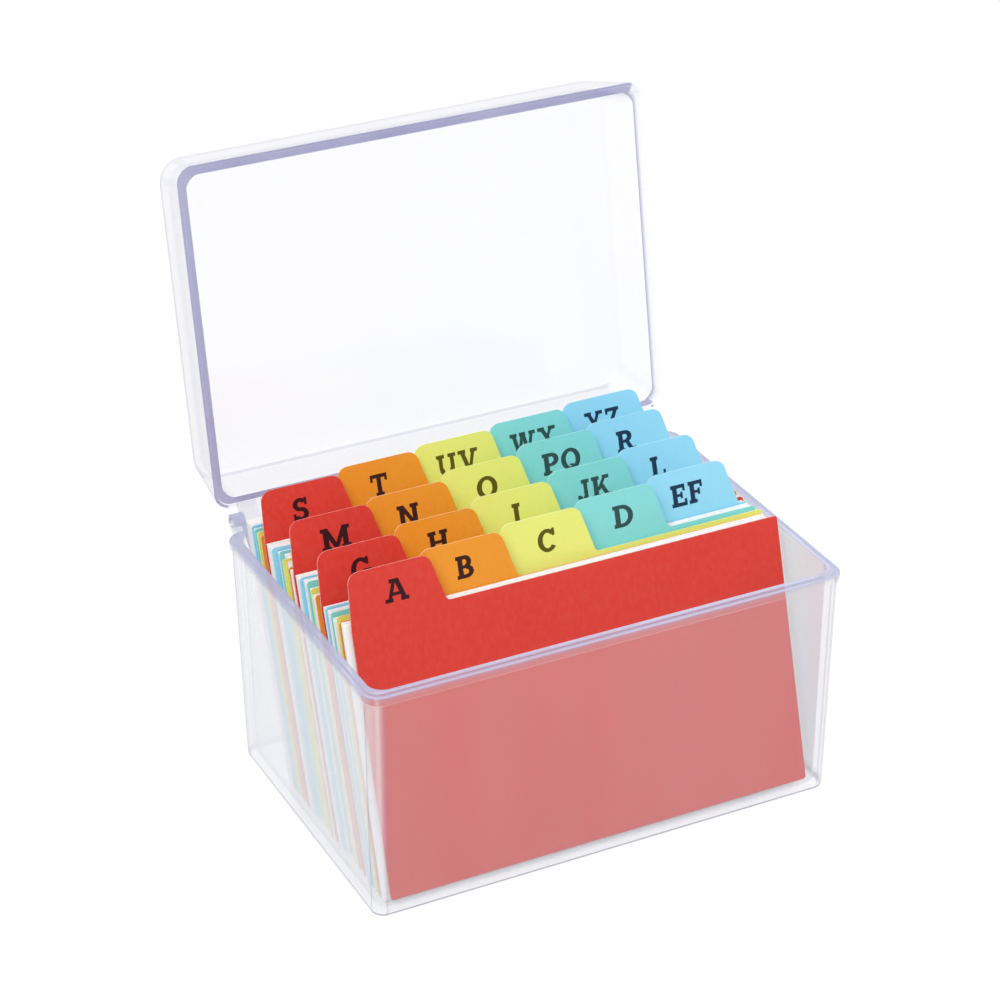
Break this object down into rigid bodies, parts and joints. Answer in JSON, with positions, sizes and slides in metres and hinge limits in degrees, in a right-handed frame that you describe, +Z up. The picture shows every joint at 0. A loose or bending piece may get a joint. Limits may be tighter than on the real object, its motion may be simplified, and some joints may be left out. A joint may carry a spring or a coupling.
{
  "type": "index card file box",
  "caption": "Clear hinged-lid file box for 3 by 5 inch index cards, with tabbed alphabet guides and blank cards filed behind each guide.",
  "frame": {"origin": "middle of the underside of the box", "axes": "+X to the right seen from the front, +Y to the back where the hinge is, +Z up; the lid stands open at rest"},
  "size_m": [0.1406, 0.1378, 0.1698],
  "materials": {
    "clear_box": "gloss",
    "clear_lid": "gloss",
    "guide_red": "satin",
    "guide_orange": "satin",
    "guide_yellow": "satin",
    "guide_teal": "satin",
    "guide_blue": "satin",
    "card_stock": "matte"
  },
  "bodies": {
    "box_base": {"box_base": "clear_box"},
    "lid": {"lid": "clear_lid"},
    "guide_A": {"guide_A": "guide_red"},
    "guide_B": {"guide_B": "guide_orange"},
    "guide_C": {"guide_C": "guide_yellow"},
    "guide_D": {"guide_D": "guide_teal"},
    "guide_EF": {"guide_EF": "guide_blue"},
    "guide_G": {"guide_G": "guide_red"},
    "guide_H": {"guide_H": "guide_orange"},
    "guide_I": {"guide_I": "guide_yellow"},
    "guide_JK": {"guide_JK": "guide_teal"},
    "guide_L": {"guide_L": "guide_blue"},
    "guide_M": {"guide_M": "guide_red"},
    "guide_N": {"guide_N": "guide_orange"},
    "guide_O": {"guide_O": "guide_yellow"},
    "guide_PQ": {"guide_PQ": "guide_teal"},
    "guide_R": {"guide_R": "guide_blue"},
    "guide_S": {"guide_S": "guide_red"},
    "guide_T": {"guide_T": "guide_orange"},
    "guide_UV": {"guide_UV": "guide_yellow"},
    "guide_WX": {"guide_WX": "guide_teal"},
    "guide_YZ": {"guide_YZ": "guide_blue"},
    "cards_A": {"cards_A": "card_stock"},
    "cards_B": {"cards_B": "card_stock"},
    "cards_C": {"cards_C": "card_stock"},
    "cards_D": {"cards_D": "card_stock"},
    "cards_EF": {"cards_EF": "card_stock"},
    "cards_G": {"cards_G": "card_stock"},
    "cards_H": {"cards_H": "card_stock"},
    "cards_I": {"cards_I": "card_stock"},
    "cards_JK": {"cards_JK": "card_stock"},
    "cards_L": {"cards_L": "card_stock"},
    "cards_M": {"cards_M": "card_stock"},
    "cards_N": {"cards_N": "card_stock"},
    "cards_O": {"cards_O": "card_stock"},
    "cards_PQ": {"cards_PQ": "card_stock"},
    "cards_R": {"cards_R": "card_stock"},
    "cards_S": {"cards_S": "card_stock"},
    "cards_T": {"cards_T": "card_stock"},
    "cards_UV": {"cards_UV": "card_stock"},
    "cards_WX": {"cards_WX": "card_stock"},
    "cards_YZ": {"cards_YZ": "card_stock"}
  },
  "joints": [
    {"name": "lid_hinge", "type": "hinge", "parent": "box_base", "child": "lid", "pos_m": [0, 0.0528, 0.0698], "axis": [-1, 0, 0], "range_deg": [-99.6, 0]},
    {"name": "lift_guide_A", "type": "slide", "parent": "box_base", "child": "guide_A", "axis": [0, 0.2723, 0.9622], "range_m": [0, 0.08]},
    {"name": "lift_guide_B", "type": "slide", "parent": "box_base", "child": "guide_B", "axis": [0, 0.2723, 0.9622], "range_m": [0, 0.08]},
    {"name": "lift_guide_C", "type": "slide", "parent": "box_base", "child": "guide_C", "axis": [0, 0.279, 0.9603], "range_m": [0, 0.08]},
    {"name": "lift_guide_D", "type": "slide", "parent": "box_base", "child": "guide_D", "axis": [0, 0.2874, 0.9578], "range_m": [0, 0.08]},
    {"name": "lift_guide_EF", "type": "slide", "parent": "box_base", "child": "guide_EF", "axis": [0, 0.2957, 0.9553], "range_m": [0, 0.08]},
    {"name": "lift_guide_G", "type": "slide", "parent": "box_base", "child": "guide_G", "axis": [0, 0.3024, 0.9532], "range_m": [0, 0.08]},
    {"name": "lift_guide_H", "type": "slide", "parent": "box_base", "child": "guide_H", "axis": [0, 0.3024, 0.9532], "range_m": [0, 0.08]},
    {"name": "lift_guide_I", "type": "slide", "parent": "box_base", "child": "guide_I", "axis": [0, 0.3024, 0.9532], "range_m": [0, 0.08]},
    {"name": "lift_guide_JK", "type": "slide", "parent": "box_base", "child": "guide_JK", "axis": [0, 0.3024, 0.9532], "range_m": [0, 0.08]},
    {"name": "lift_guide_L", "type": "slide", "parent": "box_base", "child": "guide_L", "axis": [0, 0.3024, 0.9532], "range_m": [0, 0.08]},
    {"name": "lift_guide_M", "type": "slide", "parent": "box_base", "child": "guide_M", "axis": [0, 0.3024, 0.9532], "range_m": [0, 0.08]},
    {"name": "lift_guide_N", "type": "slide", "parent": "box_base", "child": "guide_N", "axis": [0, 0.3024, 0.9532], "range_m": [0, 0.08]},
    {"name": "lift_guide_O", "type": "slide", "parent": "box_base", "child": "guide_O", "axis": [0, 0.3024, 0.9532], "range_m": [0, 0.08]},
    {"name": "lift_guide_PQ", "type": "slide", "parent": "box_base", "child": "guide_PQ", "axis": [0, 0.3024, 0.9532], "range_m": [0, 0.08]},
    {"name": "lift_guide_R", "type": "slide", "parent": "box_base", "child": "guide_R", "axis": [0, 0.3024, 0.9532], "range_m": [0, 0.08]},
    {"name": "lift_guide_S", "type": "slide", "parent": "box_base", "child": "guide_S", "axis": [0, 0.3024, 0.9532], "range_m": [0, 0.08]},
    {"name": "lift_guide_T", "type": "slide", "parent": "box_base", "child": "guide_T", "axis": [0, 0.3024, 0.9532], "range_m": [0, 0.08]},
    {"name": "lift_guide_UV", "type": "slide", "parent": "box_base", "child": "guide_UV", "axis": [0, 0.3024, 0.9532], "range_m": [0, 0.08]},
    {"name": "lift_guide_WX", "type": "slide", "parent": "box_base", "child": "guide_WX", "axis": [0, 0.3024, 0.9532], "range_m": [0, 0.08]},
    {"name": "lift_guide_YZ", "type": "slide", "parent": "box_base", "child": "guide_YZ", "axis": [0, 0.3024, 0.9532], "range_m": [0, 0.08]},
    {"name": "lift_cards_A", "type": "slide", "parent": "box_base", "child": "cards_A", "axis": [0, 0.2723, 0.9622], "range_m": [0, 0.08]},
    {"name": "lift_cards_B", "type": "slide", "parent": "box_base", "child": "cards_B", "axis": [0, 0.2723, 0.9622], "range_m": [0, 0.08]},
    {"name": "lift_cards_C", "type": "slide", "parent": "box_base", "child": "cards_C", "axis": [0, 0.279, 0.9603], "range_m": [0, 0.08]},
    {"name": "lift_cards_D", "type": "slide", "parent": "box_base", "child": "cards_D", "axis": [0, 0.2874, 0.9578], "range_m": [0, 0.08]},
    {"name": "lift_cards_EF", "type": "slide", "parent": "box_base", "child": "cards_EF", "axis": [0, 0.2957, 0.9553], "range_m": [0, 0.08]},
    {"name": "lift_cards_G", "type": "slide", "parent": "box_base", "child": "cards_G", "axis": [0, 0.3024, 0.9532], "range_m": [0, 0.08]},
    {"name": "lift_cards_H", "type": "slide", "parent": "box_base", "child": "cards_H", "axis": [0, 0.3024, 0.9532], "range_m": [0, 0.08]},
    {"name": "lift_cards_I", "type": "slide", "parent": "box_base", "child": "cards_I", "axis": [0, 0.3024, 0.9532], "range_m": [0, 0.08]},
    {"name": "lift_cards_JK", "type": "slide", "parent": "box_base", "child": "cards_JK", "axis": [0, 0.3024, 0.9532], "range_m": [0, 0.08]},
    {"name": "lift_cards_L", "type": "slide", "parent": "box_base", "child": "cards_L", "axis": [0, 0.3024, 0.9532], "range_m": [0, 0.08]},
    {"name": "lift_cards_M", "type": "slide", "parent": "box_base", "child": "cards_M", "axis": [0, 0.3024, 0.9532], "range_m": [0, 0.08]},
    {"name": "lift_cards_N", "type": "slide", "parent": "box_base", "child": "cards_N", "axis": [0, 0.3024, 0.9532], "range_m": [0, 0.08]},
    {"name": "lift_cards_O", "type": "slide", "parent": "box_base", "child": "cards_O", "axis": [0, 0.3024, 0.9532], "range_m": [0, 0.08]},
    {"name": "lift_cards_PQ", "type": "slide", "parent": "box_base", "child": "cards_PQ", "axis": [0, 0.3024, 0.9532], "range_m": [0, 0.08]},
    {"name": "lift_cards_R", "type": "slide", "parent": "box_base", "child": "cards_R", "axis": [0, 0.3024, 0.9532], "range_m": [0, 0.08]},
    {"name": "lift_cards_S", "type": "slide", "parent": "box_base", "child": "cards_S", "axis": [0, 0.3024, 0.9532], "range_m": [0, 0.08]},
    {"name": "lift_cards_T", "type": "slide", "parent": "box_base", "child": "cards_T", "axis": [0, 0.3024, 0.9532], "range_m": [0, 0.08]},
    {"name": "lift_cards_UV", "type": "slide", "parent": "box_base", "child": "cards_UV", "axis": [0, 0.3024, 0.9532], "range_m": [0, 0.08]},
    {"name": "lift_cards_WX", "type": "slide", "parent": "box_base", "child": "cards_WX", "axis": [0, 0.3024, 0.9532], "range_m": [0, 0.08]},
    {"name": "lift_cards_YZ", "type": "slide", "parent": "box_base", "child": "cards_YZ", "axis": [0, 0.3024, 0.9532], "range_m": [0, 0.08]}
  ]
}
